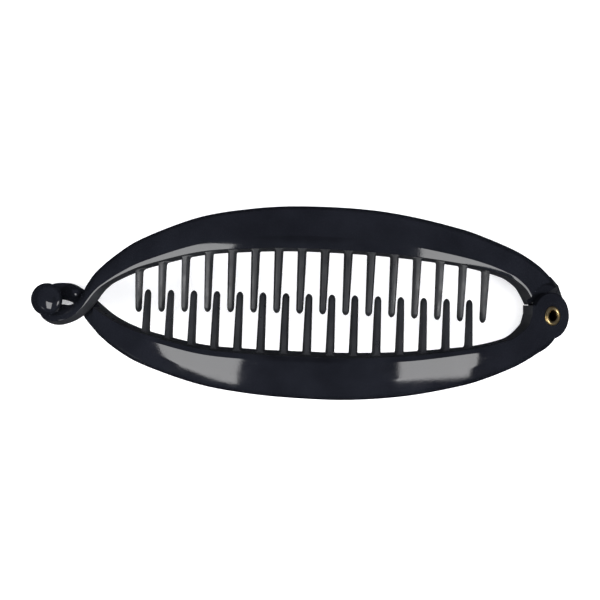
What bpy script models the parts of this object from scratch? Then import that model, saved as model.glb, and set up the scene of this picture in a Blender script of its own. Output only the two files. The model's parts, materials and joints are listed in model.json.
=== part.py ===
"""Banana hair clip: two arched comb halves, joined by a brass eyelet at one end and latched at the other.

The clip is laid out flat first and then bent over its arch. In the flat layout x runs along the clip
towards the hinge, y runs across it towards the upper half, and w is the height above the front skin.
A moulded half is one loft of a band section along its centre line, with the teeth merged into it.
"""
import math

import bmesh
import bpy
from mathutils import Matrix, Vector

MM = 0.001

# Arch: a circular bow whose two ends run on straight.
ARCH_RADIUS = 86.0 * MM
ARCH_CENTRE_X = 1.4 * MM
END_TILT = math.radians(35.0)
ARCH_HALF = ARCH_RADIUS * math.sin(END_TILT)
APEX_HEIGHT = 25.59 * MM
PLAN_SHIFT_X = -0.1 * MM
PLAN_SHIFT_Y = -0.38 * MM

# Band section: the front skin leans outwards, most of all in the middle of the clip.
CAMBER = math.radians(22.0)
CAMBER_FADE_X = 52.0 * MM
OUTER_BULGE = 1.9 * MM
FACET_SHIFT_X = 5.0 * MM
HOOK_START_X = -44.0 * MM
HOOK_FADE = 3.5 * MM
HOOK_FLARE = 0.9 * MM
STATIONS_PER_SPAN = 3

# Hinge, in layers from the front skin backwards.
PIN_X = 56.6 * MM
PIN_Y = -1.3 * MM
EAR_RADIUS = 5.2 * MM
EAR_PROUD = 0.05 * MM
EAR_BACK = -1.75 * MM
TONGUE_RADIUS = 4.6 * MM
TONGUE_FRONT = -2.1 * MM
TONGUE_BACK = -3.82 * MM
SHOULDER_RADIUS = 7.4 * MM
SHOULDER_FOOT_RADIUS = 6.9 * MM
NECK_OUTLINE = (
    (-4.2, 2.6), (-5.0, 6.3), (-3.0, 8.4), (1.2, 8.8), (3.61, 6.81), (4.91, 4.12), (4.45, 1.0), (0.0, 0.0),
)
NECK_SINK = 0.02 * MM
LAP_GAP = 0.35 * MM
SWING_LOW = (0.0 * MM, -6.9 * MM, -8.0 * MM)
SWING_HIGH = (9.0 * MM, 9.0 * MM, EAR_BACK - 0.02 * MM)
BORE_RADIUS = 1.6 * MM
SHANK_RADIUS = 1.5 * MM
EYELET_BORE_RADIUS = 1.15 * MM
FLANGE_RADIUS = 2.25 * MM
FLANGE_THICKNESS = 0.4 * MM
FLANGE_GAP = 0.3 * MM

# Latch: the hook lies in front and the catch finger behind it.
CATCH_FRONT = -2.65 * MM
CATCH_STEP_X = -45.75 * MM
STRAIGHT_X = ARCH_CENTRE_X - ARCH_HALF
RECESS_END_X = -64.0 * MM
RECESS_HALF_WIDTH = 9.0 * MM
RECESS_TOP = 6.0 * MM
BALL_CENTRE = (-55.75 * MM, -0.1 * MM, 1.6 * MM)
BALL_RADII = (3.5 * MM, 3.65 * MM, 2.3 * MM)
PEG_CENTRE = (-51.15 * MM, 1.5 * MM)
PEG_RADIUS = 1.05 * MM
PEG_FOOT = -3.4 * MM
PEG_TOP = -0.85 * MM

# Combs.
TOOTH_PITCH = 4.985 * MM
TOOTH_SPREAD = 0.00034
TOOTH_LEAN = math.tan(math.radians(1.2))
TOOTH_DROOP = 3.0 * MM
TOOTH_ROOT_DEPTH = 2.1 * MM
TOOTH_ROOT_SIZE = (2.0 * MM, 1.75 * MM)
TOOTH_TIP_SIZE = (1.5 * MM, 1.25 * MM)
TOOTH_EMBED = 1.3 * MM
TOOTH_OUTLINE = ((-0.42, -0.5), (-0.5, -0.1), (-0.24, 0.5), (0.24, 0.5), (0.5, -0.1), (0.42, -0.5))
TOOTH_STATIONS = (
    (0.0, 1.0), (0.1, 1.0), (0.3, 1.0), (0.55, 1.0), (0.8, 1.0), (0.94, 0.95), (0.985, 0.7), (1.0, 0.35),
)
# Each comb: teeth, x of the middle of the comb, then the line of the tips: y in the middle, slope, bow.
UPPER_COMB = (16, 2.5 * MM, (-2.0 * MM, -0.375 * MM, -0.825 * MM))
LOWER_COMB = (15, 2.0 * MM, (2.39 * MM, -0.37 * MM, -0.11 * MM))

# Centre line of each half from the hinge to the latch, in mm: x, y, width, thickness.
UPPER_LINE = (
    (55.6, 3.15, 7.8, 3.8), (54.3, 5.1, 7.5, 3.8), (52.45, 7.1, 6.9, 3.8), (49.85, 8.95, 6.6, 3.7),
    (47.15, 10.3, 6.6, 3.6), (41.45, 12.2, 7.1, 3.5), (35.55, 13.7, 7.75, 3.5), (24.1, 15.65, 8.55, 3.6),
    (13.2, 16.7, 8.9, 3.6), (-0.8, 17.05, 8.75, 3.6), (-11.8, 16.45, 8.4, 3.6), (-22.95, 14.9, 7.6, 3.5),
    (-34.55, 11.15, 6.35, 3.3), (-40.15, 8.3, 5.3, 3.0), (-44.55, 5.15, 4.2, 2.5), (-46.7, 2.85, 3.4, 2.3),
    (-48.9, -0.35, 2.7, 2.2), (-50.85, -2.1, 2.75, 2.2), (-52.4, -2.75, 3.2, 2.2), (-53.95, -2.95, 3.8, 2.2),
    (-55.6, -3.1, 3.7, 2.2), (-57.2, -2.5, 3.3, 2.0), (-57.9, -1.0, 2.6, 1.8),
)
LOWER_LINE = (
    (56.45, 0.65, 8.9, 3.8), (56.3, -1.85, 8.8, 3.8), (54.75, -5.1, 8.05, 3.8), (52.5, -7.1, 7.0, 3.8),
    (50.1, -8.8, 6.6, 3.7), (47.35, -10.15, 6.7, 3.6), (41.6, -12.05, 7.4, 3.5), (35.9, -13.35, 8.15, 3.5),
    (24.5, -15.1, 8.9, 3.6), (12.0, -15.95, 9.25, 3.6), (-0.2, -15.85, 9.15, 3.6), (-11.2, -15.3, 8.75, 3.6),
    (-22.35, -14.0, 8.0, 3.5), (-34.2, -10.85, 7.1, 3.5), (-39.9, -8.45, 6.2, 3.6), (-44.2, -5.8, 5.2, 3.9),
    (-47.2, -3.35, 4.5, 4.25), (-49.6, -0.85, 3.7, 4.25), (-51.6, 0.75, 3.5, 4.25), (-53.6, 1.6, 3.85, 4.25),
    (-55.5, 1.8, 3.8, 4.2), (-57.0, 1.6, 3.7, 3.75), (-58.2, 1.35, 3.0, 3.1),
)

BLACK = (0.012, 0.013, 0.016, 1.0)
BRASS = (0.78, 0.57, 0.27, 1.0)


# ---------------------------------------------------------------- arch
def tilt_at(x):
    """Slope of the arch at plan position x, positive where it falls towards the hinge."""
    along = x - ARCH_CENTRE_X
    return math.copysign(math.asin(min(abs(along), ARCH_HALF) / ARCH_RADIUS), along)


def arch_height(x):
    """Height of the front skin at plan position x."""
    along = abs(x - ARCH_CENTRE_X)
    bow = math.sqrt(ARCH_RADIUS ** 2 - min(along, ARCH_HALF) ** 2) - ARCH_RADIUS
    return APEX_HEIGHT + bow - max(along - ARCH_HALF, 0.0) * math.tan(END_TILT)


def bend(x, y, w):
    """Carry a point of the flat layout over the arch."""
    tilt = tilt_at(x)
    return Vector((x + PLAN_SHIFT_X + w * math.sin(tilt), y + PLAN_SHIFT_Y, arch_height(x) + w * math.cos(tilt)))


def fade(x):
    """1 in the middle of the clip, 0 where the arch runs out straight."""
    return max(0.0, 1.0 - (x / CAMBER_FADE_X) ** 2)


def hook_flare(x, side):
    """How far the inner wall stands out below the crest: only on the upper half's hook."""
    return HOOK_FLARE * min(max((HOOK_START_X - x) / HOOK_FADE, 0.0), 1.0) if side > 0 else 0.0


def pin_frame():
    """Frame on the pin's axis: local z leaves the front skin, local x runs down the slope."""
    return Matrix.Translation(bend(PIN_X, PIN_Y, 0.0)) @ Matrix.Rotation(tilt_at(PIN_X), 4, "Y")


# ---------------------------------------------------------------- scene
def clear_scene():
    for obj in list(bpy.data.objects):
        bpy.data.objects.remove(obj, do_unlink=True)


def new_collection(name):
    collection = bpy.data.collections.new(name)
    bpy.context.scene.collection.children.link(collection)
    return collection


def new_material(name, colour, roughness, metallic):
    material = bpy.data.materials.new(name)
    material.use_nodes = True
    shader = material.node_tree.nodes["Principled BSDF"]
    shader.inputs["Base Color"].default_value = colour
    shader.inputs["Roughness"].default_value = roughness
    shader.inputs["Metallic"].default_value = metallic
    return material


def add_object(name, bm, collection, material=None, origin=None):
    """Make an object from a bmesh, with its origin at the given matrix where one is given."""
    bmesh.ops.recalc_face_normals(bm, faces=bm.faces)
    mesh = bpy.data.meshes.new(name)
    if origin is not None:
        bmesh.ops.transform(bm, matrix=origin.inverted(), verts=bm.verts)
    bm.to_mesh(mesh)
    bm.free()
    mesh.shade_smooth()
    mesh.set_sharp_from_angle(angle=math.radians(35.0))
    obj = bpy.data.objects.new(name, mesh)
    if origin is not None:
        obj.matrix_world = origin
    collection.objects.link(obj)
    if material is not None:
        mesh.materials.append(material)
    return obj


def as_tool(obj):
    obj.hide_render = True
    obj.display_type = "WIRE"
    return obj


def boolean(target, tool, operation):
    modifier = target.modifiers.new(tool.name, "BOOLEAN")
    modifier.object = tool
    modifier.operation = operation
    modifier.solver = "EXACT"


# ---------------------------------------------------------------- shapes
def add_loft(bm, rings):
    """Skin a closed tube through rings of equal size and cap both ends."""
    loops = [[bm.verts.new(point) for point in ring] for ring in rings]
    size = len(loops[0])
    for near, far in zip(loops, loops[1:]):
        for i in range(size):
            j = (i + 1) % size
            bm.faces.new((near[i], near[j], far[j], far[i]))
    bm.faces.new(loops[0])
    bm.faces.new(loops[-1])


def curve_point(points, span, t):
    """Catmull-Rom value of every column of a table of points."""
    before = points[max(span - 1, 0)]
    start = points[span]
    end = points[span + 1]
    after = points[min(span + 2, len(points) - 1)]
    values = []
    for a, b, c, d in zip(before, start, end, after):
        bow = 2 * b + (c - a) * t + (2 * a - 5 * b + 4 * c - d) * t ** 2 + (3 * b - a - 3 * c + d) * t ** 3
        values.append(0.5 * bow * MM)
    return values


def centre_stations(points):
    """Sample the centre line: (x, y, width, thickness) rows from the hinge to the latch."""
    rows = []
    for span in range(len(points) - 1):
        for step in range(STATIONS_PER_SPAN):
            rows.append(curve_point(points, span, step / STATIONS_PER_SPAN))
    rows.append(curve_point(points, len(points) - 2, 1.0))
    return rows


def rounded(corners):
    """Round a closed outline of (v, w, radius, steps) corners; a corner without steps stays sharp."""
    points = []
    for i, (v, w, radius, steps) in enumerate(corners):
        here = Vector((v, w))
        back = Vector(corners[i - 1][:2]) - here
        ahead = Vector(corners[(i + 1) % len(corners)][:2]) - here
        if steps == 0:
            points.append(here)
            continue
        half = 0.5 * back.angle(ahead)
        reach = min(radius / math.tan(half), 0.45 * back.length, 0.45 * ahead.length)
        start = here + back.normalized() * reach
        end = here + ahead.normalized() * reach
        for k in range(steps + 1):
            t = k / steps
            a, b, c = (1 - t) ** 2, 2 * t * (1 - t) * math.sin(half), t ** 2
            points.append((start * a + here * b + end * c) / (a + b + c))
    return points


def band_section(width, thickness, x, side):
    """Section of a band as (v, w) points: v is 0 at the inner crest and grows outwards."""
    middle = fade(x)
    camber = CAMBER * middle
    flare = hook_flare(x, side)
    wide = (width + OUTER_BULGE * math.sin(camber)) / math.cos(camber)
    if side > 0:
        facet = (0.3 + 2.0 * fade(x - FACET_SHIFT_X) ** 1.5) * MM
        drop = facet * (0.37 + 0.6 * middle - 0.41 * middle ** 2)
    else:
        facet = (0.6 + 0.5 * middle) * MM
        drop = facet * (0.37 - 0.1 * middle)
    skin = (0.25 + 0.75 * middle) * MM
    shoulder = max(wide - 1.3 * MM, 0.6 * wide)
    corners = (
        (-0.7 * flare, -thickness, 0.3 * MM, 1), (-flare, -0.65 * thickness, 0.0, 0), (0.0, -drop, 0.0, 0),
        (facet, 0.0, 0.0, 0), (0.5 * (facet + shoulder), 0.1 * skin, 0.0, 0), (shoulder, -0.3 * skin, 1.2 * MM, 2),
        (wide, -min(OUTER_BULGE, 0.55 * thickness), 1.2 * MM, 2), (wide - 0.15 * MM, -thickness, 0.5 * MM, 1),
    )
    sine, cosine = math.sin(camber), math.cos(camber)
    return [(v * cosine + w * sine, w * cosine - v * sine) for v, w in rounded(corners)]


def add_band(bm, points, side):
    """Loft one half's band; side is +1 for the upper half and -1 for the lower half."""
    rows = centre_stations(points)
    rings = []
    for i, (x, y, width, thickness) in enumerate(rows):
        before, after = rows[max(i - 1, 0)], rows[min(i + 1, len(rows) - 1)]
        heading = Vector((after[0] - before[0], after[1] - before[1])).normalized()
        outward = Vector((heading.y, -heading.x)) * side
        ring = []
        for v, w in band_section(width, thickness, x, side):
            spot = Vector((x, y)) + outward * (v - width / 2)
            ring.append(bend(spot.x, spot.y, w))
        rings.append(ring)
    add_loft(bm, rings)


def inner_edge_y(points, side, x):
    """Plan y of a band's inner crest at plan x."""
    rows = centre_stations(points)
    for near, far in zip(rows, rows[1:]):
        if near[0] >= x >= far[0]:
            t = (near[0] - x) / (near[0] - far[0])
            slope = math.atan2(far[1] - near[1], near[0] - far[0])
            y = near[1] + (far[1] - near[1]) * t
            width = near[2] + (far[2] - near[2]) * t
            return y - side * 0.5 * width / math.cos(slope)
    raise ValueError("x lies off the band")


def add_tooth(bm, tip_x, tip_y, root_y, side):
    """A tapered prong from inside the band to a rounded tip, drooping below the arch as it goes."""
    start_y = root_y + side * TOOTH_EMBED
    length = abs(start_y - tip_y)
    root_x = tip_x + side * TOOTH_LEAN * length
    rings = []
    for along, size in TOOTH_STATIONS:
        x = root_x + (tip_x - root_x) * along
        y = start_y + (tip_y - start_y) * along
        sink = TOOTH_DROOP * along ** 1.5
        width = size * (TOOTH_ROOT_SIZE[0] + (TOOTH_TIP_SIZE[0] - TOOTH_ROOT_SIZE[0]) * along)
        height = size * (TOOTH_ROOT_SIZE[1] + (TOOTH_TIP_SIZE[1] - TOOTH_ROOT_SIZE[1]) * along)
        tilt = tilt_at(x)
        middle = bend(x, y, 0.0) - Vector((0.0, 0.0, TOOTH_ROOT_DEPTH / math.cos(tilt) + sink))
        across = Vector((math.cos(tilt), 0.0, -math.sin(tilt)))
        up = Vector((math.sin(tilt), 0.0, math.cos(tilt)))
        rings.append([middle + across * (a * width) + up * (b * height) for a, b in TOOTH_OUTLINE])
    add_loft(bm, rings)


def comb_tips(comb):
    """Tips of a comb: the pitch opens out a little towards both ends, and the tips lie on a slight bow."""
    count, middle_x, (tip_y, slope, bow) = comb
    tips = []
    for i in range(count):
        place = i - 0.5 * (count - 1)
        part_way = place / (0.5 * (count - 1))
        x = middle_x + TOOTH_PITCH * place * (1.0 + TOOTH_SPREAD * place ** 2)
        tips.append((x, tip_y + slope * part_way + bow * part_way ** 2))
    return tips


def make_teeth(name, collection, points, side, comb):
    bm = bmesh.new()
    for x, y in comb_tips(comb):
        add_tooth(bm, x, y, inner_edge_y(points, side, x), side)
    return as_tool(add_object(name, bm, collection))


def make_cylinder(name, collection, radius, low, high, segments=48, top_radius=None):
    """A cylinder on the pin's axis between two depths, or a cone where a top radius is given."""
    bm = bmesh.new()
    bmesh.ops.create_cone(bm, cap_ends=True, segments=segments, radius1=radius, radius2=top_radius or radius,
                          depth=high - low, matrix=pin_frame() @ Matrix.Translation((0, 0, (low + high) / 2)))
    return as_tool(add_object(name, bm, collection))


def make_pin_box(name, collection, low, high):
    """A box in the pin's frame between two corners."""
    low, high = Vector(low), Vector(high)
    bm = bmesh.new()
    place = pin_frame() @ Matrix.Translation((low + high) / 2) @ Matrix.Diagonal((high - low).to_4d())
    bmesh.ops.create_cube(bm, size=1.0, matrix=place)
    return as_tool(add_object(name, bm, collection))


def make_neck(collection):
    """The plate under the shoulder that carries the tongue and closes the outline beside the ear."""
    bm = bmesh.new()
    frame = pin_frame()
    rings = [[frame @ Vector((x * MM, y * MM, w)) for x, y in NECK_OUTLINE]
             for w in (TONGUE_BACK + NECK_SINK, TONGUE_FRONT - NECK_SINK)]
    add_loft(bm, rings)
    return as_tool(add_object("tongue_neck", bm, collection))


def make_recess(collection):
    """The room for the hook over the catch finger: a box of the flat layout, bent over the arch."""
    bm = bmesh.new()
    rings = []
    for x in (RECESS_END_X, STRAIGHT_X, CATCH_STEP_X):
        rings.append([bend(x, y, w) for y, w in (
            (-RECESS_HALF_WIDTH, CATCH_FRONT), (RECESS_HALF_WIDTH, CATCH_FRONT),
            (RECESS_HALF_WIDTH, RECESS_TOP), (-RECESS_HALF_WIDTH, RECESS_TOP))])
    add_loft(bm, rings)
    return as_tool(add_object("hook_recess", bm, collection))


def make_ball(collection):
    bm = bmesh.new()
    bmesh.ops.create_uvsphere(bm, u_segments=24, v_segments=14, radius=1.0)
    for vert in bm.verts:
        x, y, w = (c + r * v for c, r, v in zip(BALL_CENTRE, BALL_RADII, vert.co))
        vert.co = bend(x, y, w)
    return as_tool(add_object("thumb_ball", bm, collection))


def make_peg(collection):
    """The catch peg: a round post with a domed top."""
    shoulder = PEG_TOP - 0.6 * PEG_RADIUS
    rings = []
    profile = (
        (PEG_RADIUS, PEG_FOOT), (PEG_RADIUS, shoulder), (0.87 * PEG_RADIUS, PEG_TOP - 0.3 * PEG_RADIUS),
        (0.5 * PEG_RADIUS, PEG_TOP - 0.06 * PEG_RADIUS), (0.15 * PEG_RADIUS, PEG_TOP),
    )
    for radius, w in profile:
        rings.append([bend(PEG_CENTRE[0] + radius * math.cos(turn), PEG_CENTRE[1] + radius * math.sin(turn), w)
                      for turn in (math.tau * i / 20 for i in range(20))])
    bm = bmesh.new()
    add_loft(bm, rings)
    return as_tool(add_object("catch_peg", bm, collection))


# ---------------------------------------------------------------- pieces
def make_upper_half(collection, tools, material):
    bm = bmesh.new()
    add_band(bm, UPPER_LINE, 1)
    half = add_object("upper_comb_half", bm, collection, material, pin_frame())
    teeth = make_teeth("upper_teeth", tools, UPPER_LINE, 1, UPPER_COMB)
    foot = EAR_BACK - LAP_GAP + 0.02 * MM
    mouth_radius = 2 * SHOULDER_RADIUS - SHOULDER_FOOT_RADIUS
    lap = make_cylinder("shoulder_cut", tools, SHOULDER_FOOT_RADIUS, foot, -foot, top_radius=mouth_radius)
    tongue = make_cylinder("tongue", tools, TONGUE_RADIUS, TONGUE_BACK, TONGUE_FRONT)
    bore = make_cylinder("upper_bore", tools, BORE_RADIUS, -8 * MM, 4 * MM, 32)
    boolean(half, teeth, "UNION")
    boolean(half, make_ball(tools), "UNION")
    boolean(half, lap, "DIFFERENCE")
    boolean(half, make_neck(tools), "UNION")
    boolean(half, tongue, "UNION")
    boolean(half, bore, "DIFFERENCE")
    return half


def make_lower_half(collection, tools, material):
    bm = bmesh.new()
    add_band(bm, LOWER_LINE, -1)
    half = add_object("lower_comb_half", bm, collection, material, pin_frame())
    teeth = make_teeth("lower_teeth", tools, LOWER_LINE, -1, LOWER_COMB)
    ear = make_cylinder("ear", tools, EAR_RADIUS, EAR_BACK, EAR_PROUD)
    pocket = make_cylinder("tongue_pocket", tools, TONGUE_RADIUS + LAP_GAP, -8 * MM, EAR_BACK - 0.01 * MM)
    swing = make_pin_box("neck_swing", tools, SWING_LOW, SWING_HIGH)
    recess = make_recess(tools)
    bore = make_cylinder("lower_bore", tools, BORE_RADIUS, -8 * MM, 4 * MM, 32)
    boolean(half, teeth, "UNION")
    boolean(half, ear, "UNION")
    boolean(half, pocket, "DIFFERENCE")
    boolean(half, swing, "DIFFERENCE")
    boolean(half, recess, "DIFFERENCE")
    boolean(half, make_peg(tools), "UNION")
    boolean(half, bore, "DIFFERENCE")
    return half


def make_eyelet(collection, material):
    """A tubular rivet: a turned profile with a flange at the front and the clinched flange behind."""
    front = EAR_PROUD + FLANGE_GAP
    back = TONGUE_BACK - FLANGE_GAP
    profile = (
        (EYELET_BORE_RADIUS, front + FLANGE_THICKNESS), (FLANGE_RADIUS - 0.1 * MM, front + FLANGE_THICKNESS),
        (FLANGE_RADIUS, front + FLANGE_THICKNESS - 0.1 * MM), (FLANGE_RADIUS, front), (SHANK_RADIUS, front),
        (SHANK_RADIUS, back), (FLANGE_RADIUS, back), (FLANGE_RADIUS, back - FLANGE_THICKNESS),
        (EYELET_BORE_RADIUS, back - FLANGE_THICKNESS),
    )
    bm = bmesh.new()
    ring = [bm.verts.new((radius, 0.0, w)) for radius, w in profile]
    for i, vert in enumerate(ring):
        bm.edges.new((vert, ring[(i + 1) % len(ring)]))
    mesh = bpy.data.meshes.new("hinge_eyelet")
    bm.to_mesh(mesh)
    bm.free()
    mesh.materials.append(material)
    eyelet = bpy.data.objects.new("hinge_eyelet", mesh)
    eyelet.matrix_world = pin_frame()
    collection.objects.link(eyelet)
    turn = eyelet.modifiers.new("turn", "SCREW")
    turn.axis = "Z"
    turn.angle = math.tau
    turn.steps = 32
    turn.render_steps = 32
    turn.use_merge_vertices = True
    turn.merge_threshold = 0.00001
    turn.use_normal_calculate = True
    turn.use_smooth_shade = True
    return eyelet


def main():
    clear_scene()
    parts = new_collection("banana_hair_clip")
    tools = new_collection("tools")
    black = new_material("gloss_black_plastic", BLACK, 0.16, 0.0)
    black_lower = new_material("gloss_black_plastic_lower", BLACK, 0.16, 0.0)
    brass = new_material("polished_brass", BRASS, 0.28, 1.0)
    make_upper_half(parts, tools, black)
    make_lower_half(parts, tools, black_lower)
    make_eyelet(parts, brass)
    bpy.context.view_layer.update()


main()
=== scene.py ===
"""Looks of the banana hair clip: finely lofted comb halves, a rolled brass eyelet, studio light and camera.

As in the CAD, everything is laid out flat first and then bent over the arch. In the flat layout x runs
towards the hinge, y across towards the upper half, and w is the height above the front skin.
"""
import json
import math

import bmesh
import bpy
from mathutils import Matrix, Vector


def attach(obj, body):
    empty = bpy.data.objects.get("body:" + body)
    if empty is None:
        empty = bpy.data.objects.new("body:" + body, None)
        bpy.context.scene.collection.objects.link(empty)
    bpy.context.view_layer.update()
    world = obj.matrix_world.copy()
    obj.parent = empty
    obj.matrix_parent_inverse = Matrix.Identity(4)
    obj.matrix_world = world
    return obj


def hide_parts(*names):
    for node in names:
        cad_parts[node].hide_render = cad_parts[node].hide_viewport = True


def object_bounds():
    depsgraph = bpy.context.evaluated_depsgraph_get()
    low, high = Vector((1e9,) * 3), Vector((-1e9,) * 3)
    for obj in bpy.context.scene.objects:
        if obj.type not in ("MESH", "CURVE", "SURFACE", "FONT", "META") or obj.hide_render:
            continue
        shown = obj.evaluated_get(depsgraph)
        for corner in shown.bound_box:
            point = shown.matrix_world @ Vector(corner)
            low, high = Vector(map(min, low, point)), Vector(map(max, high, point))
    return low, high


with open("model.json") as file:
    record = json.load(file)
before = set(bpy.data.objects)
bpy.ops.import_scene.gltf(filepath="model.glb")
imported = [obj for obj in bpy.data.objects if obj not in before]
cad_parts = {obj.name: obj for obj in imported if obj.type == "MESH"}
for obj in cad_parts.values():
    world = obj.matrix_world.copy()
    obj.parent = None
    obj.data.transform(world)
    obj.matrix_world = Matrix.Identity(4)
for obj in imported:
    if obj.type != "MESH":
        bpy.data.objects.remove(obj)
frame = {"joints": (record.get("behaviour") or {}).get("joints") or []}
REST_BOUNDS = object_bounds()

MM = 0.001

# Arch and camber.
ARCH_RADIUS = 86.0 * MM
ARCH_CENTRE_X = 1.4 * MM
END_TILT = math.radians(35.0)
ARCH_HALF = ARCH_RADIUS * math.sin(END_TILT)
CAMBER = math.radians(22.0)
CAMBER_FADE_X = 52.0 * MM
OUTER_BULGE = 1.9 * MM

# Section of the arms, from the inner crest outwards. Widths and rises, in mm, are a share at the ends and
# what the middle adds; drops are shares of the facet's width.
UPPER_FACET = (0.3, 2.0)
UPPER_FACET_GROWTH = 1.5
UPPER_FACET_SHIFT_X = 5.0 * MM
UPPER_FACET_DROP = (0.37, 0.6, 0.41)
LOWER_FACET = (0.6, 0.5)
LOWER_FACET_DROP = (0.37, 0.1)
SKIN_RISE = (0.25, 0.75)
CREST_STEP = 0.05 * MM
OUTER_BEVEL = 1.3 * MM
HOOK_START_X = -44.0 * MM
HOOK_FADE = 3.5 * MM
HOOK_FLARE = 0.9 * MM
PLAN_SHIFT = Vector((-0.1 * MM, -0.38 * MM))
PIN_FLAT = Vector((56.6 * MM, -1.3 * MM))
PIVOT_DEPTH = 1.9 * MM

# Hinge layers.
EAR_RADIUS = 5.2 * MM
EAR_BACK = -1.75 * MM
TONGUE_RADIUS = 4.6 * MM
TONGUE_FRONT = -2.08 * MM
TONGUE_BACK = -3.8 * MM
SHOULDER_RADIUS = 7.4 * MM
SHOULDER_FOOT_RADIUS = 6.9 * MM
SHOULDER_FLARE = 0.15 * MM
LAP_GAP = 0.35 * MM
NECK_OUTLINE = (
    (-4.2, 2.6), (-5.0, 6.3), (-3.0, 8.4), (1.2, 8.8), (3.61, 6.81), (4.91, 4.12), (4.45, 1.0), (0.0, 0.0),
)
SWING_LOW = (0.0 * MM, -6.9 * MM, -8.0 * MM)
SWING_HIGH = (9.0 * MM, 9.0 * MM, EAR_BACK - 0.02 * MM)
BORE_RADIUS = 1.6 * MM
EYELET_BORE = 1.15 * MM
SHANK_RADIUS = 1.5 * MM
FLANGE_RADIUS = 2.25 * MM
FLANGE_ROLL = 0.32 * MM
CUT_BOTTOM = -8.0 * MM
CUT_TOP = 4.0 * MM
CUT_SEGMENTS = 128

# Latch.
CATCH_FRONT = -2.65 * MM
CATCH_STEP_X = -45.75 * MM
STRAIGHT_X = ARCH_CENTRE_X - ARCH_HALF
RECESS_END_X = -64.0 * MM
RECESS_HALF_WIDTH = 9.0 * MM
RECESS_TOP = 6.0 * MM
BALL_CENTRE = (-55.75 * MM, -0.1 * MM, 1.6 * MM)
BALL_RADII = (3.5 * MM, 3.65 * MM, 2.3 * MM)
PEG_CENTRE = (-51.15 * MM, 1.5 * MM)
PEG_RADIUS = 1.05 * MM
PEG_FOOT = -3.4 * MM
PEG_TOP = -0.85 * MM
PEG_SEGMENTS = 40

# Combs.
TOOTH_PITCH = 4.985 * MM
TOOTH_SPREAD = 0.00034
TOOTH_LEAN = math.tan(math.radians(1.2))
TOOTH_DROOP = 3.0 * MM
TOOTH_ROOT_DEPTH = 2.1 * MM
TOOTH_ROOT_SIZE = (2.07 * MM, 1.75 * MM)
TOOTH_TIP_SIZE = (1.57 * MM, 1.25 * MM)
TOOTH_FILLET = 0.75 * MM
TOOTH_NOSE = 1.1 * MM
TOOTH_EMBED = 1.3 * MM
# Each comb: teeth, x of the middle of the comb, then the line of the tips: y in the middle, slope, bow.
UPPER_COMB = (16, 2.5 * MM, (-2.0 * MM, -0.375 * MM, -0.825 * MM))
LOWER_COMB = (15, 2.0 * MM, (2.39 * MM, -0.37 * MM, -0.11 * MM))

# Centre line of each half from the hinge to the latch, in mm: x, y, width, thickness.
UPPER_LINE = (
    (55.6, 3.15, 7.8, 3.8), (54.3, 5.1, 7.5, 3.8), (52.45, 7.1, 6.9, 3.8), (49.85, 8.95, 6.6, 3.7),
    (47.15, 10.3, 6.6, 3.6), (41.45, 12.2, 7.1, 3.5), (35.55, 13.7, 7.75, 3.5), (24.1, 15.65, 8.55, 3.6),
    (13.2, 16.7, 8.9, 3.6), (-0.8, 17.05, 8.75, 3.6), (-11.8, 16.45, 8.4, 3.6), (-22.95, 14.9, 7.6, 3.5),
    (-34.55, 11.15, 6.35, 3.3), (-40.15, 8.3, 5.3, 3.0), (-44.55, 5.15, 4.2, 2.5), (-46.7, 2.85, 3.4, 2.3),
    (-48.9, -0.35, 2.7, 2.2), (-50.85, -2.1, 2.75, 2.2), (-52.4, -2.75, 3.2, 2.2), (-53.95, -2.95, 3.8, 2.2),
    (-55.6, -3.1, 3.7, 2.2), (-57.2, -2.5, 3.3, 2.0), (-57.9, -1.0, 2.6, 1.8),
)
LOWER_LINE = (
    (56.45, 0.94, 8.9, 3.8), (56.3, -1.85, 8.8, 3.8), (54.75, -5.1, 8.05, 3.8), (52.5, -7.1, 7.0, 3.8),
    (50.1, -8.8, 6.6, 3.7), (47.35, -10.15, 6.7, 3.6), (41.6, -12.05, 7.4, 3.5), (35.9, -13.35, 8.15, 3.5),
    (24.5, -15.1, 8.9, 3.6), (12.0, -15.95, 9.25, 3.6), (-0.2, -15.85, 9.15, 3.6), (-11.2, -15.3, 8.75, 3.6),
    (-22.35, -14.0, 8.0, 3.5), (-34.2, -10.85, 7.1, 3.5), (-39.9, -8.45, 6.2, 3.6), (-44.2, -5.8, 5.2, 3.9),
    (-47.2, -3.35, 4.5, 4.25), (-49.6, -0.85, 3.7, 4.25), (-51.6, 0.75, 3.5, 4.25), (-53.6, 1.6, 3.85, 4.25),
    (-55.5, 1.8, 3.8, 4.2), (-57.0, 1.6, 3.7, 3.75), (-58.2, 1.35, 3.0, 3.1),
)
STATION_GAP = 0.55 * MM
WELD = 0.001 * MM
# Slots of the two plastics.
GLOSS, SATIN = 0, 1

GLOSS_COLOUR = (0.0042, 0.0046, 0.0062)
SATIN_COLOUR = (0.010, 0.0105, 0.0115)
BRASS_COLOURS = ((0.34, 0.23, 0.09), (0.62, 0.47, 0.22))
# Near-black browns for the eyelet's bore: painted shade inside the hole, where the floor's light would show
# through.
BORE_SHADE_COLOURS = ((0.02, 0.012, 0.006), (0.06, 0.038, 0.018))

FLOOR_HALF_SIZE = 3.0
FLOOR_GAP = 0.05 * MM
LENS = 119.5
CAMERA_PLACE = (-0.05 * MM, 0.62 * MM, 451.8 * MM)
CAMERA_TURN = math.radians(1.27)


# ---------------------------------------------------------------- arch
def hinge_frame():
    """Frame on the pin at the front skin, from the hinge_open joint: local z leaves the skin."""
    joint = next(j for j in frame["joints"] if j["name"] == "hinge_open")
    outward = -Vector(joint["axis"]).normalized()
    turn = Vector((0.0, 0.0, 1.0)).rotation_difference(outward).to_matrix().to_4x4()
    return Matrix.Translation(Vector(joint["pos_m"]) + outward * PIVOT_DEPTH) @ turn


PIN = hinge_frame()


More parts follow.
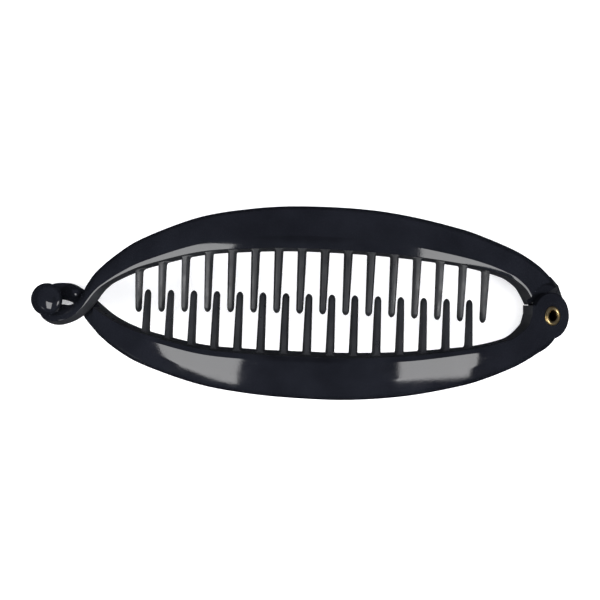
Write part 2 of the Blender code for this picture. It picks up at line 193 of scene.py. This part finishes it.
def bow_at(x):
    """Height of the front skin at plan position x, below the apex."""
    along = abs(x - ARCH_CENTRE_X)
    bow = math.sqrt(ARCH_RADIUS ** 2 - min(along, ARCH_HALF) ** 2) - ARCH_RADIUS
    return bow - max(along - ARCH_HALF, 0.0) * math.tan(END_TILT)


APEX_HEIGHT = PIN.translation.z - bow_at(PIN_FLAT.x)


def tilt_at(x):
    """Slope of the arch at plan position x, positive where it falls towards the hinge."""
    along = x - ARCH_CENTRE_X
    return math.copysign(math.asin(min(abs(along), ARCH_HALF) / ARCH_RADIUS), along)


def bend(x, y, w):
    """Carry a point of the flat layout over the arch."""
    tilt = tilt_at(x)
    return Vector((x + PLAN_SHIFT.x + w * math.sin(tilt), y + PLAN_SHIFT.y,
                   APEX_HEIGHT + bow_at(x) + w * math.cos(tilt)))


def fade(x):
    """1 in the middle of the clip, 0 where the arch runs out straight."""
    return max(0.0, 1.0 - (x / CAMBER_FADE_X) ** 2)


def camber_at(x):
    """How far the arms' section leans outwards, in radians."""
    return CAMBER * fade(x)


def hook_flare(x, side):
    """How far the inner wall stands out below the crest: only on the upper half's hook."""
    return HOOK_FLARE * min(max((HOOK_START_X - x) / HOOK_FADE, 0.0), 1.0) if side > 0 else 0.0


# ---------------------------------------------------------------- outlines
def rounded(corners):
    """Round a closed outline of (v, w, radius, steps, finish) corners.

    Gives points and the finish of the strip that follows each point; a corner without steps stays sharp.
    """
    points, finishes = [], []
    for i, (v, w, radius, steps, finish) in enumerate(corners):
        here = Vector((v, w))
        back = Vector(corners[i - 1][:2]) - here
        ahead = Vector(corners[(i + 1) % len(corners)][:2]) - here
        finishes += [finish] * (steps + 1)
        if steps == 0:
            points.append(here)
            continue
        half = 0.5 * back.angle(ahead)
        reach = max(min(radius / math.tan(half), 0.45 * back.length, 0.45 * ahead.length), 0.03 * MM)
        start = here + back.normalized() * reach
        end = here + ahead.normalized() * reach
        for k in range(steps + 1):
            u = k / steps
            a, b, c = (1 - u) ** 2, 2 * u * (1 - u) * math.sin(half), u ** 2
            points.append((start * a + here * b + end * c) / (a + b + c))
    return points, finishes


def band_section(width, thickness, x, side):
    """Section of a band: (v, w) points, v 0 at the inner crest and growing outwards, and their finishes."""
    middle = fade(x)
    camber = camber_at(x)
    flare = hook_flare(x, side)
    wide = (width + OUTER_BULGE * math.sin(camber)) / math.cos(camber)
    if side > 0:
        facet = (UPPER_FACET[0] + UPPER_FACET[1] * fade(x - UPPER_FACET_SHIFT_X) ** UPPER_FACET_GROWTH) * MM
        level, rise, fall = UPPER_FACET_DROP
        drop = facet * (level + rise * middle - fall * middle ** 2)
    else:
        facet = (LOWER_FACET[0] + LOWER_FACET[1] * middle) * MM
        drop = facet * (LOWER_FACET_DROP[0] - LOWER_FACET_DROP[1] * middle)
    skin = (SKIN_RISE[0] + SKIN_RISE[1] * middle) * MM
    shoulder = max(wide - OUTER_BEVEL, 0.6 * wide)
    step = CREST_STEP
    dip = drop * step / facet if side > 0 else 1.6 * step
    corners = (
        (-0.7 * flare, -thickness, 0.3 * MM, 3, SATIN), (-flare, -0.65 * thickness, 0.4 * MM, 3, SATIN),
        (0.0, -drop, 0.12 * MM, 3, GLOSS), (facet - step, -dip, 0.06 * MM, 2, GLOSS),
        (facet + step, 0.0, 0.06 * MM, 2, GLOSS), (0.5 * (facet + shoulder), 0.1 * skin, 8 * MM, 6, GLOSS),
        (shoulder, -0.3 * skin, 1.2 * MM, 6, GLOSS),
        (wide, -min(OUTER_BULGE, 0.55 * thickness), 1.2 * MM, 5, GLOSS),
        (wide - 0.15 * MM, -thickness, 0.5 * MM, 4, SATIN),
        (0.5 * wide, 0.12 * MM - thickness, 6 * MM, 2, SATIN),
    )
    points, finishes = rounded(corners)
    sine, cosine = math.sin(camber), math.cos(camber)
    return [(v * cosine + w * sine, w * cosine - v * sine) for v, w in points], finishes


def line_point(points, span, t):
    """Catmull-Rom value of every column of a centre line."""
    before, start, end = points[max(span - 1, 0)], points[span], points[span + 1]
    after = points[min(span + 2, len(points) - 1)]
    values = []
    for a, b, c, d in zip(before, start, end, after):
        bow = 2 * b + (c - a) * t + (2 * a - 5 * b + 4 * c - d) * t ** 2 + (3 * b - a - 3 * c + d) * t ** 3
        values.append(0.5 * bow * MM)
    return values


def stations(points):
    """Evenly fine samples of a centre line: (x, y, width, thickness) rows."""
    rows = []
    for span in range(len(points) - 1):
        length = math.dist(points[span][:2], points[span + 1][:2]) * MM
        steps = max(2, round(length / STATION_GAP))
        rows += [line_point(points, span, k / steps) for k in range(steps)]
    rows.append(line_point(points, len(points) - 2, 1.0))
    return rows


# ---------------------------------------------------------------- mesh helpers
def add_loft(bm, rings, finish=None):
    """Skin a closed tube through rings of equal size and cap both ends."""
    loops = [[bm.verts.new(point) for point in ring] for ring in rings]
    size = len(loops[0])
    for near, far in zip(loops, loops[1:]):
        for i in range(size):
            face = bm.faces.new((near[i], near[(i + 1) % size], far[(i + 1) % size], far[i]))
            if finish is not None:
                face.material_index = finish(i)
    for cap in (loops[0], loops[-1]):
        face = bm.faces.new(cap)
        if finish is not None:
            face.material_index = SATIN


def make_object(name, bm, materials=()):
    """Turn a bmesh into a linked object with outward normals."""
    bmesh.ops.recalc_face_normals(bm, faces=bm.faces)
    mesh = bpy.data.meshes.new(name)
    bm.to_mesh(mesh)
    bm.free()
    for material in materials:
        mesh.materials.append(material)
    obj = bpy.data.objects.new(name, mesh)
    bpy.context.scene.collection.objects.link(obj)
    return obj


def carve(target, tools):
    """Apply a run of (tool, operation) Booleans to the target and remove the tools."""
    for tool, operation in tools:
        modifier = target.modifiers.new(tool.name, "BOOLEAN")
        modifier.object = tool
        modifier.operation = operation
        modifier.solver = "EXACT"
        bpy.context.view_layer.update()
        graph = bpy.context.evaluated_depsgraph_get()
        carved = bpy.data.meshes.new_from_object(target.evaluated_get(graph))
        target.modifiers.clear()
        target.data = carved
        bpy.data.objects.remove(tool)


def finish_mesh(obj, angle=32.0):
    """Merge what the Booleans left doubled, then shade smooth up to a crease angle in degrees."""
    bm = bmesh.new()
    bm.from_mesh(obj.data)
    bmesh.ops.remove_doubles(bm, verts=bm.verts, dist=2 * WELD)
    bmesh.ops.dissolve_degenerate(bm, edges=bm.edges, dist=WELD)
    bm.to_mesh(obj.data)
    bm.free()
    obj.data.shade_smooth()
    obj.data.set_sharp_from_angle(angle=math.radians(angle))


def turned(name, profile, segments, place, materials=()):
    """Turn a closed (radius, height) profile about the local z axis of a placement matrix."""
    bm = bmesh.new()
    rings = []
    for i in range(segments):
        turn = math.tau * i / segments
        rings.append([bm.verts.new(place @ Vector((r * math.cos(turn), r * math.sin(turn), h)))
                      for r, h in profile])
    for i, ring in enumerate(rings):
        after = rings[(i + 1) % segments]
        for k in range(len(profile)):
            j = (k + 1) % len(profile)
            bm.faces.new((ring[k], after[k], after[j], ring[j]))
    bmesh.ops.remove_doubles(bm, verts=bm.verts, dist=WELD)
    return make_object(name, bm, materials)


def disc(name, radius, low, high, edge=0.0, materials=()):
    """A solid disc on the pin's axis with rounded rims."""
    profile = [(0.0, low)]
    profile += [(radius - edge * (1 - math.sin(a)), low + edge * (1 - math.cos(a)))
                for a in (math.pi / 2 * k / 4 for k in range(5))]
    profile += [(radius - edge * (1 - math.cos(a)), high - edge * (1 - math.sin(a)))
                for a in (math.pi / 2 * k / 5 for k in range(6))]
    profile.append((0.0, high))
    return turned(name, profile, CUT_SEGMENTS, PIN, materials)


def shoulder_cut():
    """The room for the ear in front of the tongue: a steep wall that flares out at the front skin."""
    mouth = SHOULDER_RADIUS + SHOULDER_FLARE
    profile = [(0.0, TONGUE_FRONT), (SHOULDER_FOOT_RADIUS, TONGUE_FRONT), (SHOULDER_RADIUS, -SHOULDER_FLARE),
               (mouth, 0.0), (mouth + CUT_TOP, CUT_TOP), (0.0, CUT_TOP)]
    return turned("shoulder_tool", profile, CUT_SEGMENTS, PIN)


# ---------------------------------------------------------------- band, teeth, ball
def add_band(bm, points, side):
    """Loft an arm's section along its centre line; side is 1 for the upper half and -1 for the lower."""
    rows = stations(points)
    rings = []
    for i, (x, y, width, thickness) in enumerate(rows):
        before, after = rows[max(i - 1, 0)], rows[min(i + 1, len(rows) - 1)]
        heading = Vector((after[0] - before[0], after[1] - before[1])).normalized()
        outward = Vector((heading.y, -heading.x)) * side
        ring = []
        section, finishes = band_section(width, thickness, x, side)
        for v, w in section:
            spot = Vector((x, y)) + outward * (v - width / 2)
            ring.append(bend(spot.x, spot.y, w))
        rings.append(ring)
    add_loft(bm, rings, lambda i: finishes[i])


def crest_y(rows, side, x):
    """Plan y of a band's inner crest at plan x."""
    for near, far in zip(rows, rows[1:]):
        if near[0] >= x >= far[0]:
            t = (near[0] - x) / (near[0] - far[0])
            slope = math.atan2(far[1] - near[1], near[0] - far[0])
            y = near[1] + (far[1] - near[1]) * t
            width = near[2] + (far[2] - near[2]) * t
            return y - side * 0.5 * width / math.cos(slope)
    raise ValueError("x lies off the band")


def tooth_stops(length, wall):
    """Distances along a tooth: close together over the root fillet and round the nose."""
    stops = [0.0] + [wall - 0.2 * MM + TOOTH_FILLET * k / 6 for k in range(8)]
    body = length - TOOTH_NOSE - stops[-1]
    stops += [stops[-1] + body * k / 8 for k in range(1, 9)]
    stops += [length - TOOTH_NOSE * (1 - math.sin(math.pi / 2 * k / 7)) for k in range(1, 8)]
    return stops


def add_tooth(bm, tip_x, tip_y, root_y, side):
    """A tapered prong with a raised front ridge, filleted into the band and rounded at its nose."""
    start_y = root_y + side * TOOTH_EMBED
    length = abs(start_y - tip_y)
    wall = TOOTH_EMBED + TOOTH_ROOT_DEPTH * math.sin(camber_at(tip_x))
    root_x = tip_x + side * TOOTH_LEAN * length
    rings = []
    for stop in tooth_stops(length, wall):
        along = stop / length
        width = TOOTH_ROOT_SIZE[0] + (TOOTH_TIP_SIZE[0] - TOOTH_ROOT_SIZE[0]) * along
        height = TOOTH_ROOT_SIZE[1] + (TOOTH_TIP_SIZE[1] - TOOTH_ROOT_SIZE[1]) * along
        near_wall = min(max(1.0 - (stop - wall) / TOOTH_FILLET, 0.0), 1.0)
        flare = TOOTH_FILLET * (1.0 - math.sqrt(1.0 - near_wall ** 2))
        nose = max(0.0, 1.0 - (length - stop) / TOOTH_NOSE)
        shrink = math.sqrt(max(1.0 - nose ** 2, 0.0))
        x = root_x + (tip_x - root_x) * along
        y = start_y + (tip_y - start_y) * along
        tilt = tilt_at(x)
        sink = TOOTH_DROOP * along ** 1.5 + 0.3 * height * nose ** 2
        middle = bend(x, y, 0.0) - Vector((0.0, 0.0, TOOTH_ROOT_DEPTH / math.cos(tilt) + sink))
        across = Vector((math.cos(tilt), 0.0, -math.sin(tilt)))
        up = Vector((math.sin(tilt), 0.0, math.cos(tilt)))
        half = 0.5 * width
        tall = 0.5 * height
        outline, _ = rounded((
            (-0.8 * half, -tall, 0.3 * MM, 3, SATIN), (-half, -0.1 * tall, 0.2 * MM, 3, SATIN),
            (-0.46 * half, tall, 0.1 * MM, 3, SATIN), (0.46 * half, tall, 0.1 * MM, 3, SATIN),
            (half, -0.1 * tall, 0.2 * MM, 3, SATIN), (0.8 * half, -tall, 0.3 * MM, 3, SATIN),
        ))
        stretch = (1.0 + flare / half) * max(shrink, 0.12)
        rings.append([middle + across * (a * stretch) + up * (b * max(shrink, 0.12)) for a, b in outline])
    add_loft(bm, rings, lambda i: SATIN)


def comb_tips(comb):
    """Tips of a comb: the pitch opens out a little towards both ends, and the tips lie on a slight bow."""
    count, middle_x, (tip_y, slope, bow) = comb
    tips = []
    for i in range(count):
        place = i - 0.5 * (count - 1)
        part_way = place / (0.5 * (count - 1))
        x = middle_x + TOOTH_PITCH * place * (1.0 + TOOTH_SPREAD * place ** 2)
        tips.append((x, tip_y + slope * part_way + bow * part_way ** 2))
    return tips


def make_teeth(name, points, comb, side, materials):
    """All teeth of one comb in a single object."""
    bm = bmesh.new()
    rows = stations(points)
    for x, y in comb_tips(comb):
        add_tooth(bm, x, y, crest_y(rows, side, x), side)
    return make_object(name, bm, materials)


def make_ball(materials):
    """The thumb ball, an ellipsoid bent with the arch."""
    bm = bmesh.new()
    bmesh.ops.create_uvsphere(bm, u_segments=72, v_segments=40, radius=1.0)
    for vert in bm.verts:
        x, y, w = (c + r * v for c, r, v in zip(BALL_CENTRE, BALL_RADII, vert.co))
        vert.co = bend(x, y, w)
    return make_object("ball_tool", bm, materials)


def make_peg(materials):
    """The catch peg: a round post with a domed top."""
    profile = [(PEG_RADIUS, PEG_FOOT)]
    profile += [(PEG_RADIUS * math.cos(a), PEG_TOP - 0.75 * PEG_RADIUS * (1 - math.sin(a)))
                for a in (math.pi / 2 * k / 8 for k in range(8))]
    profile.append((0.04 * PEG_RADIUS, PEG_TOP))
    turns = [math.tau * i / PEG_SEGMENTS for i in range(PEG_SEGMENTS)]
    rings = [[bend(PEG_CENTRE[0] + r * math.cos(a), PEG_CENTRE[1] + r * math.sin(a), w) for a in turns]
             for r, w in profile]
    bm = bmesh.new()
    add_loft(bm, rings, lambda i: GLOSS)
    return make_object("peg_tool", bm, materials)


def make_neck(materials):
    """The plate under the shoulder that carries the tongue and closes the outline beside the ear."""
    bm = bmesh.new()
    levels = (TONGUE_BACK + 0.03 * MM, TONGUE_FRONT - 0.1 * MM, TONGUE_FRONT - 0.03 * MM)
    inset = (1.0, 1.0, 0.985)
    rings = [[PIN @ Vector((x * MM * k, y * MM * k, w)) for x, y in NECK_OUTLINE]
             for w, k in zip(levels, inset)]
    add_loft(bm, rings, lambda i: GLOSS)
    return make_object("neck_tool", bm, materials)


def make_recess():
    """The room for the hook over the catch finger: a box of the flat layout, bent over the arch."""
    bm = bmesh.new()
    rings = []
    for x in (RECESS_END_X, STRAIGHT_X, CATCH_STEP_X):
        rings.append([bend(x, y, w) for y, w in (
            (-RECESS_HALF_WIDTH, CATCH_FRONT), (RECESS_HALF_WIDTH, CATCH_FRONT),
            (RECESS_HALF_WIDTH, RECESS_TOP), (-RECESS_HALF_WIDTH, RECESS_TOP))])
    add_loft(bm, rings)
    return make_object("recess_tool", bm)


def pin_box(name, low, high):
    """A box in the pin's frame, between two corners."""
    low, high = Vector(low), Vector(high)
    bm = bmesh.new()
    place = PIN @ Matrix.Translation((low + high) / 2) @ Matrix.Diagonal((high - low).to_4d())
    bmesh.ops.create_cube(bm, size=1.0, matrix=place)
    return make_object(name, bm)


# ---------------------------------------------------------------- materials
def plastic(name, colour, roughness, wave):
    """Black moulded plastic: a slow ripple in the skin, fine grain, and scattered dust specks in the
    roughness.
    """
    material = bpy.data.materials.new(name)
    material.use_nodes = True
    nodes, links = material.node_tree.nodes, material.node_tree.links
    shader = nodes["Principled BSDF"]
    shader.inputs["Specular IOR Level"].default_value = 0.5
    shader.inputs["IOR"].default_value = 1.49
    place = nodes.new("ShaderNodeTexCoord")

    def noise(scale, detail):
        node = nodes.new("ShaderNodeTexNoise")
        node.inputs["Scale"].default_value = scale
        node.inputs["Detail"].default_value = detail
        links.new(place.outputs["Object"], node.inputs["Vector"])
        return node

    def spread(source, low, high, from_low=0.3, from_high=0.7):
        node = nodes.new("ShaderNodeMapRange")
        node.inputs["From Min"].default_value = from_low
        node.inputs["From Max"].default_value = from_high
        node.inputs["To Min"].default_value = low
        node.inputs["To Max"].default_value = high
        links.new(source, node.inputs["Value"])
        return node.outputs["Result"]

    tint = nodes.new("ShaderNodeMix")
    tint.data_type = "RGBA"
    tint.inputs["A"].default_value = (*[0.75 * c for c in colour], 1.0)
    tint.inputs["B"].default_value = (*[1.35 * c for c in colour], 1.0)
    links.new(spread(noise(140.0, 3.0).outputs["Fac"], 0.0, 1.0), tint.inputs["Factor"])
    links.new(tint.outputs["Result"], shader.inputs["Base Color"])

    dust = nodes.new("ShaderNodeTexVoronoi")
    dust.inputs["Scale"].default_value = 520.0
    links.new(place.outputs["Object"], dust.inputs["Vector"])
    speck = spread(dust.outputs["Distance"], 1.0, 0.0, 0.03, 0.09)
    rough = nodes.new("ShaderNodeMath")
    rough.operation = "ADD"
    links.new(spread(noise(420.0, 4.0).outputs["Fac"], 0.7 * roughness, 1.5 * roughness), rough.inputs[0])
    scuff = nodes.new("ShaderNodeMath")
    scuff.operation = "MULTIPLY"
    scuff.inputs[1].default_value = 0.18
    links.new(speck, scuff.inputs[0])
    links.new(scuff.outputs["Value"], rough.inputs[1])
    links.new(rough.outputs["Value"], shader.inputs["Roughness"])

    ripple = nodes.new("ShaderNodeBump")
    ripple.inputs["Strength"].default_value = 1.0
    ripple.inputs["Distance"].default_value = wave
    links.new(noise(90.0, 1.0).outputs["Fac"], ripple.inputs["Height"])
    grain = nodes.new("ShaderNodeBump")
    grain.inputs["Strength"].default_value = 1.0
    grain.inputs["Distance"].default_value = 0.000003 if roughness < 0.2 else 0.00001
    links.new(noise(2600.0, 3.0).outputs["Fac"], grain.inputs["Height"])
    links.new(ripple.outputs["Normal"], grain.inputs["Normal"])
    links.new(grain.outputs["Normal"], shader.inputs["Normal"])
    return material


def brass(name, dark, light, low, high):
    """Stamped brass with darker patches of tarnish; low and high bound its roughness. Given near-black
    colours, it paints shade into the eyelet's bore.
    """
    material = bpy.data.materials.new(name)
    material.use_nodes = True
    nodes, links = material.node_tree.nodes, material.node_tree.links
    shader = nodes["Principled BSDF"]
    shader.inputs["Metallic"].default_value = 1.0
    place = nodes.new("ShaderNodeTexCoord")
    patches = nodes.new("ShaderNodeTexNoise")
    patches.inputs["Scale"].default_value = 900.0
    patches.inputs["Detail"].default_value = 5.0
    links.new(place.outputs["Object"], patches.inputs["Vector"])
    ramp = nodes.new("ShaderNodeValToRGB")
    ramp.color_ramp.elements[0].position = 0.32
    ramp.color_ramp.elements[0].color = (*dark, 1.0)
    ramp.color_ramp.elements[1].position = 0.6
    ramp.color_ramp.elements[1].color = (*light, 1.0)
    links.new(patches.outputs["Fac"], ramp.inputs["Fac"])
    links.new(ramp.outputs["Color"], shader.inputs["Base Color"])
    rough = nodes.new("ShaderNodeMapRange")
    rough.inputs["To Min"].default_value = high
    rough.inputs["To Max"].default_value = low
    links.new(patches.outputs["Fac"], rough.inputs["Value"])
    links.new(rough.outputs["Result"], shader.inputs["Roughness"])
    bump = nodes.new("ShaderNodeBump")
    bump.inputs["Distance"].default_value = 0.00001
    links.new(patches.outputs["Fac"], bump.inputs["Height"])
    links.new(bump.outputs["Normal"], shader.inputs["Normal"])
    return material


# ---------------------------------------------------------------- pieces
def make_upper_half(materials):
    """The half with the J hook, the thumb ball and the tongue."""
    bm = bmesh.new()
    add_band(bm, UPPER_LINE, 1)
    half = make_object("upper_half_moulding", bm, materials)
    carve(half, (
        (make_teeth("upper_teeth_tool", UPPER_LINE, UPPER_COMB, 1, materials), "UNION"),
        (make_ball(materials), "UNION"),
        (shoulder_cut(), "DIFFERENCE"),
        (make_neck(materials), "UNION"),
        (disc("tongue_tool", TONGUE_RADIUS, TONGUE_BACK, TONGUE_FRONT - 0.02 * MM, 0.15 * MM, materials),
         "UNION"),
        (disc("bore_tool", BORE_RADIUS, CUT_BOTTOM, CUT_TOP), "DIFFERENCE"),
    ))
    finish_mesh(half)
    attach(half, "upper_half")
    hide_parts("upper_comb_half")


def make_lower_half(materials):
    """The half with the ear and, behind the hook, the catch finger with its peg."""
    bm = bmesh.new()
    add_band(bm, LOWER_LINE, -1)
    half = make_object("lower_half_moulding", bm, materials)
    carve(half, (
        (make_teeth("lower_teeth_tool", LOWER_LINE, LOWER_COMB, -1, materials), "UNION"),
        (disc("ear_tool", EAR_RADIUS, EAR_BACK, -0.01 * MM, 0.3 * MM, materials), "UNION"),
        (disc("pocket_tool", TONGUE_RADIUS + LAP_GAP, CUT_BOTTOM, EAR_BACK - 0.01 * MM), "DIFFERENCE"),
        (pin_box("swing_tool", SWING_LOW, SWING_HIGH), "DIFFERENCE"),
        (make_recess(), "DIFFERENCE"),
        (make_peg(materials), "UNION"),
        (disc("bore_tool", BORE_RADIUS, CUT_BOTTOM, CUT_TOP), "DIFFERENCE"),
    ))
    finish_mesh(half)
    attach(half, "lower_half")
    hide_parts("lower_comb_half")


def make_eyelet(materials):
    """The eyelet's tube with a rolled front flange, a clinched back flange and a bore painted near black as
    shade.
    """
    middle = 0.5 * (EYELET_BORE + FLANGE_RADIUS)
    half = 0.5 * (FLANGE_RADIUS - EYELET_BORE)
    profile = [(middle - half * math.cos(a), 0.1 * MM + 1.3 * FLANGE_ROLL * math.sin(a))
               for a in (math.pi * k / 12 for k in range(13))]
    profile += [(FLANGE_RADIUS - 0.05 * MM, 0.02 * MM), (SHANK_RADIUS, 0.02 * MM)]
    profile += [(SHANK_RADIUS, TONGUE_BACK - 0.05 * MM)]
    profile += [(middle + half * math.cos(a), TONGUE_BACK - 0.1 * MM - 1.1 * FLANGE_ROLL * math.sin(a))
                for a in (math.pi * k / 8 for k in range(9))]
    eyelet = turned("brass_eyelet", profile, 96, PIN, materials)
    # The bore's faces take the second slot: painted shade, near black, inside the hole.
    for face in eyelet.data.polygons:
        local = PIN.inverted() @ face.center
        if local.xy.length < EYELET_BORE + 0.06 * MM:
            face.material_index = 1
    finish_mesh(eyelet, 50.0)
    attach(eyelet, "eyelet")
    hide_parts("hinge_eyelet")


# ---------------------------------------------------------------- stage
def make_floor():
    """A pale floor just under the clip. A faint glow keeps it even, and reflections leave it out."""
    bm = bmesh.new()
    bmesh.ops.create_grid(bm, x_segments=2, y_segments=2, size=FLOOR_HALF_SIZE)
    floor = make_object("floor", bm)
    floor.location.z = REST_BOUNDS[0][2] - FLOOR_GAP
    material = bpy.data.materials.new("pale_floor")
    material.use_nodes = True
    shader = material.node_tree.nodes["Principled BSDF"]
    shader.inputs["Base Color"].default_value = (0.9, 0.9, 0.9, 1.0)
    shader.inputs["Roughness"].default_value = 0.9
    shader.inputs["Specular IOR Level"].default_value = 0.1
    shader.inputs["Emission Color"].default_value = (1.0, 1.0, 1.0, 1.0)
    shader.inputs["Emission Strength"].default_value = 0.3
    floor.data.materials.append(material)
    floor.visible_glossy = False


def add_panel(name, place, size, power, turn=0.0, seen_in_gloss=True):
    """A light panel that faces straight down, turned in plan by so many degrees."""
    light = bpy.data.lights.new(name, "AREA")
    light.shape = "RECTANGLE"
    light.size, light.size_y = size
    light.energy = power
    obj = bpy.data.objects.new(name, light)
    obj.location = place
    obj.rotation_euler.z = math.radians(turn)
    obj.visible_glossy = seen_in_gloss
    bpy.context.scene.collection.objects.link(obj)


def make_world():
    """A dim studio: dark straight overhead, a cool grey ceiling round it and a dark lower half."""
    world = bpy.data.worlds.new("studio")
    world.use_nodes = True
    nodes, links = world.node_tree.nodes, world.node_tree.links
    place = nodes.new("ShaderNodeTexCoord")
    split = nodes.new("ShaderNodeSeparateXYZ")
    links.new(place.outputs["Generated"], split.inputs["Vector"])
    ramp = nodes.new("ShaderNodeValToRGB")
    stops = ((0.0, 0.02), (0.02, 0.10), (0.45, 0.16), (0.94, 0.13), (0.97, 0.02))
    ramp.color_ramp.elements[0].position = stops[0][0]
    ramp.color_ramp.elements[1].position = stops[-1][0]
    for position, _ in stops[1:-1]:
        ramp.color_ramp.elements.new(position)
    for element, (_, level) in zip(ramp.color_ramp.elements, stops):
        element.color = (0.86 * level, 0.95 * level, 1.35 * level, 1.0)
    links.new(split.outputs["Z"], ramp.inputs["Fac"])
    links.new(ramp.outputs["Color"], nodes["Background"].inputs["Color"])
    bpy.context.scene.world = world


def make_lights():
    """Two panels shine in the arms, a dim low one in the ball, and a fill lights the rest unseen."""
    add_panel("panel_left", (-0.92, -0.96, 1.0), (0.86, 1.34), 23.5, -11.0)
    add_panel("panel_right", (1.16, -0.77, 1.0), (0.96, 0.92), 18.0, 8.0)
    add_panel("panel_low_left", (-2.6, -1.8, 0.62), (0.9, 0.6), 4.0)
    add_panel("overhead_fill", (0.0, 0.0, 1.6), (2.4, 2.4), 64.0, seen_in_gloss=False)


def make_camera():
    """Looks straight down on the clip, turned a little so that the clip falls to the right."""
    camera = bpy.data.cameras.new("camera")
    camera.lens = LENS
    camera.sensor_width = 36.0
    obj = bpy.data.objects.new("camera", camera)
    obj.location = CAMERA_PLACE
    obj.rotation_euler = (0.0, 0.0, CAMERA_TURN)
    bpy.context.scene.collection.objects.link(obj)
    bpy.context.scene.camera = obj


def main():
    gloss = plastic("gloss_black", GLOSS_COLOUR, 0.06, 0.02 * MM)
    satin = plastic("satin_black", SATIN_COLOUR, 0.36, 0.01 * MM)
    make_upper_half((gloss, satin))
    make_lower_half((gloss, satin))
    # The second eyelet material paints shade, near black, into the bore.
    make_eyelet((brass("eyelet_brass", *BRASS_COLOURS, 0.2, 0.42),
                 brass("bore_painted_shade", *BORE_SHADE_COLOURS, 0.5, 0.8)))
    make_floor()
    make_world()
    make_lights()
    make_camera()
    bpy.context.scene.view_settings.view_transform = "Standard"


main()
